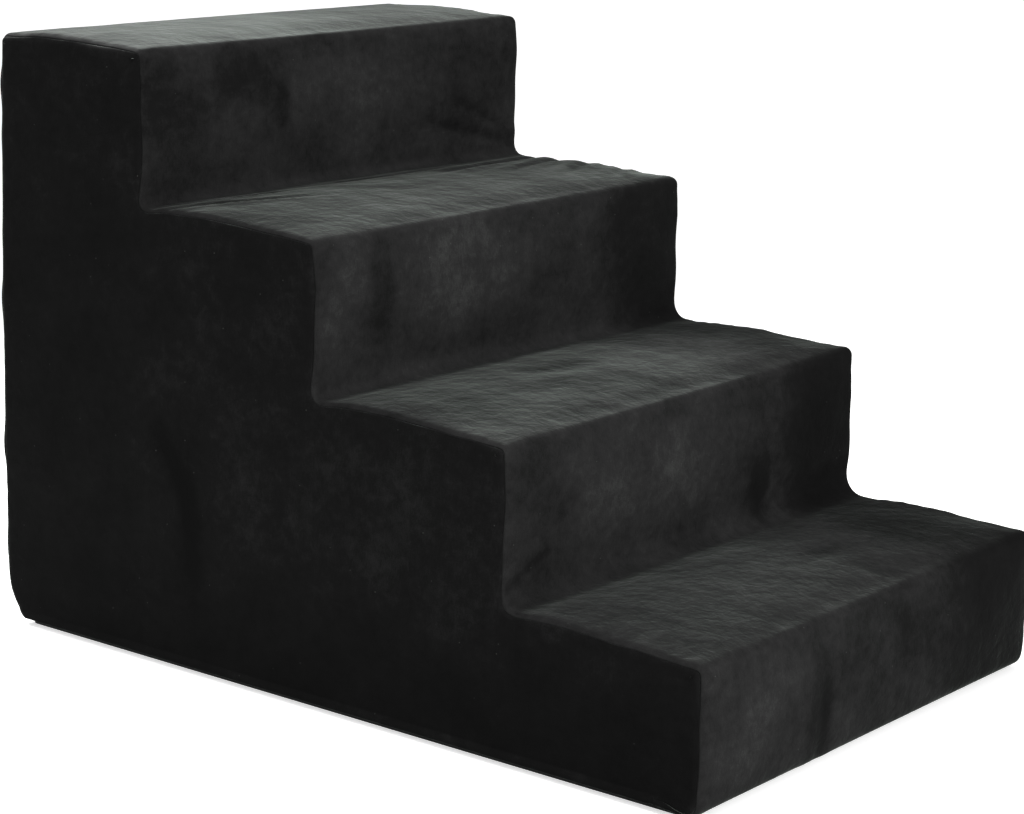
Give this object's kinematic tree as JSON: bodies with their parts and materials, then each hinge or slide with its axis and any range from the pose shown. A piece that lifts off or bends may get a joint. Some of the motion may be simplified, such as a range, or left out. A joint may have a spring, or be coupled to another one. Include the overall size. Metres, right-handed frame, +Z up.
{
  "type": "pet stairs",
  "caption": "Soft foam steps for a small dog or cat, in a black plush cover with a coil zip around its lower edge and a non-slip base.",
  "frame": {"origin": "on the floor, under the middle of the stairs' bounding box", "axes": "+Z up; +Y the way the steps climb, so the lowest riser faces -Y; +X across the width, to the right of someone who climbs"},
  "size_m": [0.43, 0.65, 0.455],
  "materials": {
    "foam": "matte",
    "plush_cover": "matte",
    "grip_cloth": "matte",
    "zip_tape": "matte",
    "zip_coil": "satin",
    "zip_metal": "satin"
  },
  "bodies": {
    "stairs": {"foam_slab_1": "foam", "foam_slab_2": "foam", "foam_slab_3": "foam", "foam_slab_4": "foam", "left_side_panel": "plush_cover", "right_side_panel": "plush_cover", "step_strip": "plush_cover", "back_panel": "plush_cover", "base_panel": "grip_cloth", "cover_zip_tape": "zip_tape", "base_zip_tape": "zip_tape", "cover_zip_coil": "zip_coil", "base_zip_coil": "zip_coil", "zip_top_stops": "zip_metal", "zip_bottom_stop": "zip_metal"},
    "slider": {"zip_slider": "zip_metal"},
    "pull": {"zip_pull": "zip_metal"}
  },
  "joints": [
    {"name": "zip_slide", "type": "slide", "parent": "stairs", "child": "slider", "axis": [0, 1, 0], "range_m": [0, 0.59]},
    {"name": "pull_hinge", "type": "hinge", "parent": "slider", "child": "pull", "pos_m": [0.212, -0.3018, 0.0059], "axis": [0, 0, -1], "range_deg": [0, 165]}
  ]
}
